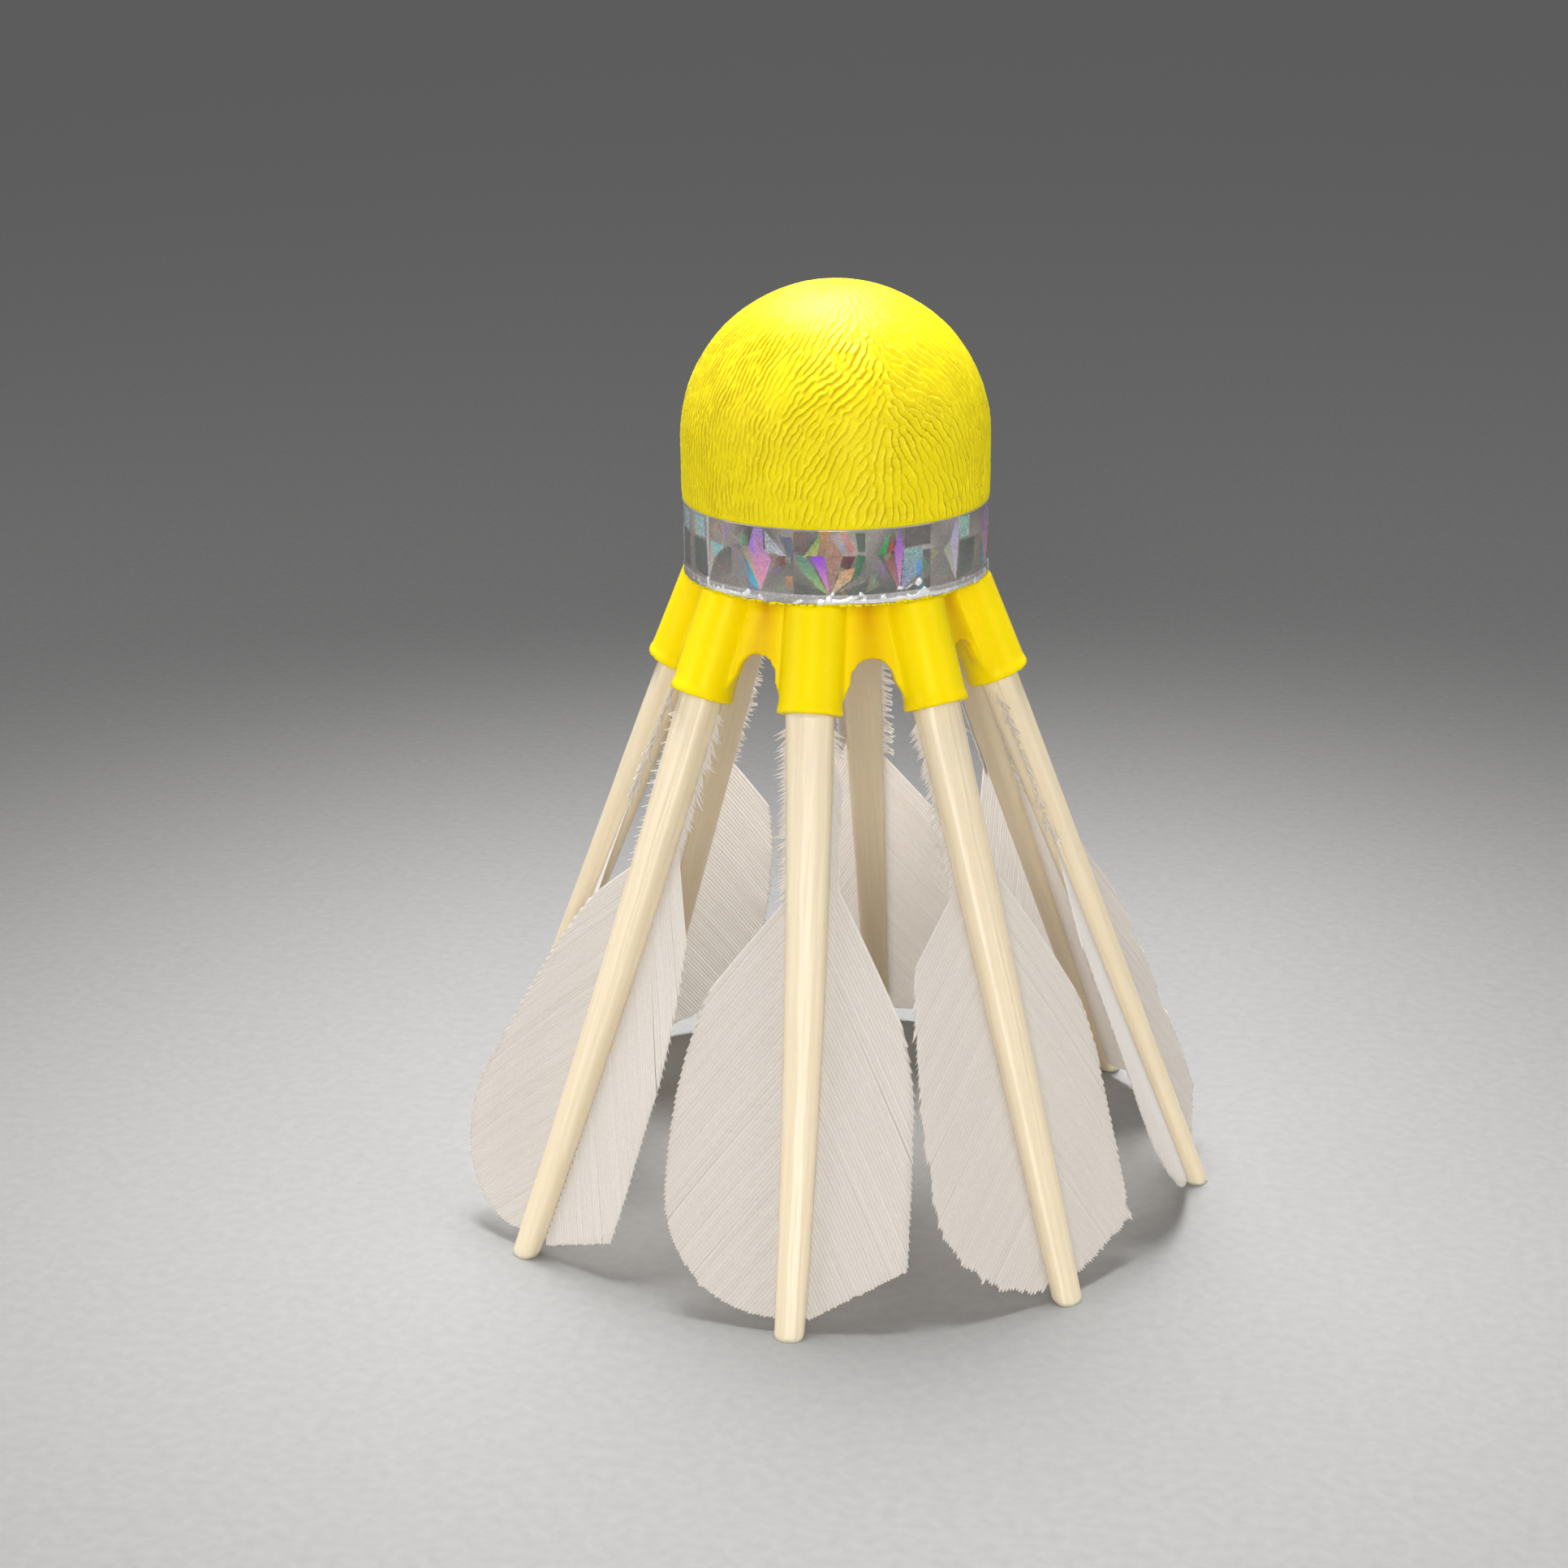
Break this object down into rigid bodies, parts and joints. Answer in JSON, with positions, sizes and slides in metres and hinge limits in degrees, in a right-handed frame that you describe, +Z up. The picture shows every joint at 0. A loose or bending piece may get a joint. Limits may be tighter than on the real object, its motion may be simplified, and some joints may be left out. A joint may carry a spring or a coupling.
{
  "type": "badminton shuttlecock",
  "caption": "Feather shuttlecock with a wrinkled round head, a film band and a moulded socket collar that holds separate plug-in feathers in an open cone.",
  "frame": {"origin": "centre of the circle of quill tips, on the surface the shuttlecock stands on", "axes": "+Z up through the middle of the head, -Y through the feather numbered 1, the other feathers follow towards +X"},
  "size_m": [0.0692, 0.0692, 0.0824],
  "materials": {
    "core": "composite cork, matt",
    "skin": "crinkled soft sheen",
    "film": "thin patterned interference film",
    "collar": "smooth moulded",
    "quill": "keratin, slightly translucent",
    "vane": "feather barbs, silky"
  },
  "bodies": {
    "head": {"head_core": "core", "head_cover": "skin", "head_band": "film", "collar": "collar"},
    "feather_1": {"quill_1": "quill", "vane_left_1": "vane", "vane_right_1": "vane"},
    "feather_2": {"quill_2": "quill", "vane_left_2": "vane", "vane_right_2": "vane"},
    "feather_3": {"quill_3": "quill", "vane_left_3": "vane", "vane_right_3": "vane"},
    "feather_4": {"quill_4": "quill", "vane_left_4": "vane", "vane_right_4": "vane"},
    "feather_5": {"quill_5": "quill", "vane_left_5": "vane", "vane_right_5": "vane"},
    "feather_6": {"quill_6": "quill", "vane_left_6": "vane", "vane_right_6": "vane"},
    "feather_7": {"quill_7": "quill", "vane_left_7": "vane", "vane_right_7": "vane"},
    "feather_8": {"quill_8": "quill", "vane_left_8": "vane", "vane_right_8": "vane"}
  },
  "joints": [
    {"name": "feather_1_pull", "type": "slide", "parent": "head", "child": "feather_1", "axis": [0, -0.3691, -0.9294], "range_m": [0, 0.01]},
    {"name": "feather_2_pull", "type": "slide", "parent": "head", "child": "feather_2", "axis": [0.261, -0.261, -0.9294], "range_m": [0, 0.01]},
    {"name": "feather_3_pull", "type": "slide", "parent": "head", "child": "feather_3", "axis": [0.3691, 0, -0.9294], "range_m": [0, 0.01]},
    {"name": "feather_4_pull", "type": "slide", "parent": "head", "child": "feather_4", "axis": [0.261, 0.261, -0.9294], "range_m": [0, 0.01]},
    {"name": "feather_5_pull", "type": "slide", "parent": "head", "child": "feather_5", "axis": [0, 0.3691, -0.9294], "range_m": [0, 0.01]},
    {"name": "feather_6_pull", "type": "slide", "parent": "head", "child": "feather_6", "axis": [-0.261, 0.261, -0.9294], "range_m": [0, 0.01]},
    {"name": "feather_7_pull", "type": "slide", "parent": "head", "child": "feather_7", "axis": [-0.3691, 0, -0.9294], "range_m": [0, 0.01]},
    {"name": "feather_8_pull", "type": "slide", "parent": "head", "child": "feather_8", "axis": [-0.261, -0.261, -0.9294], "range_m": [0, 0.01]}
  ]
}
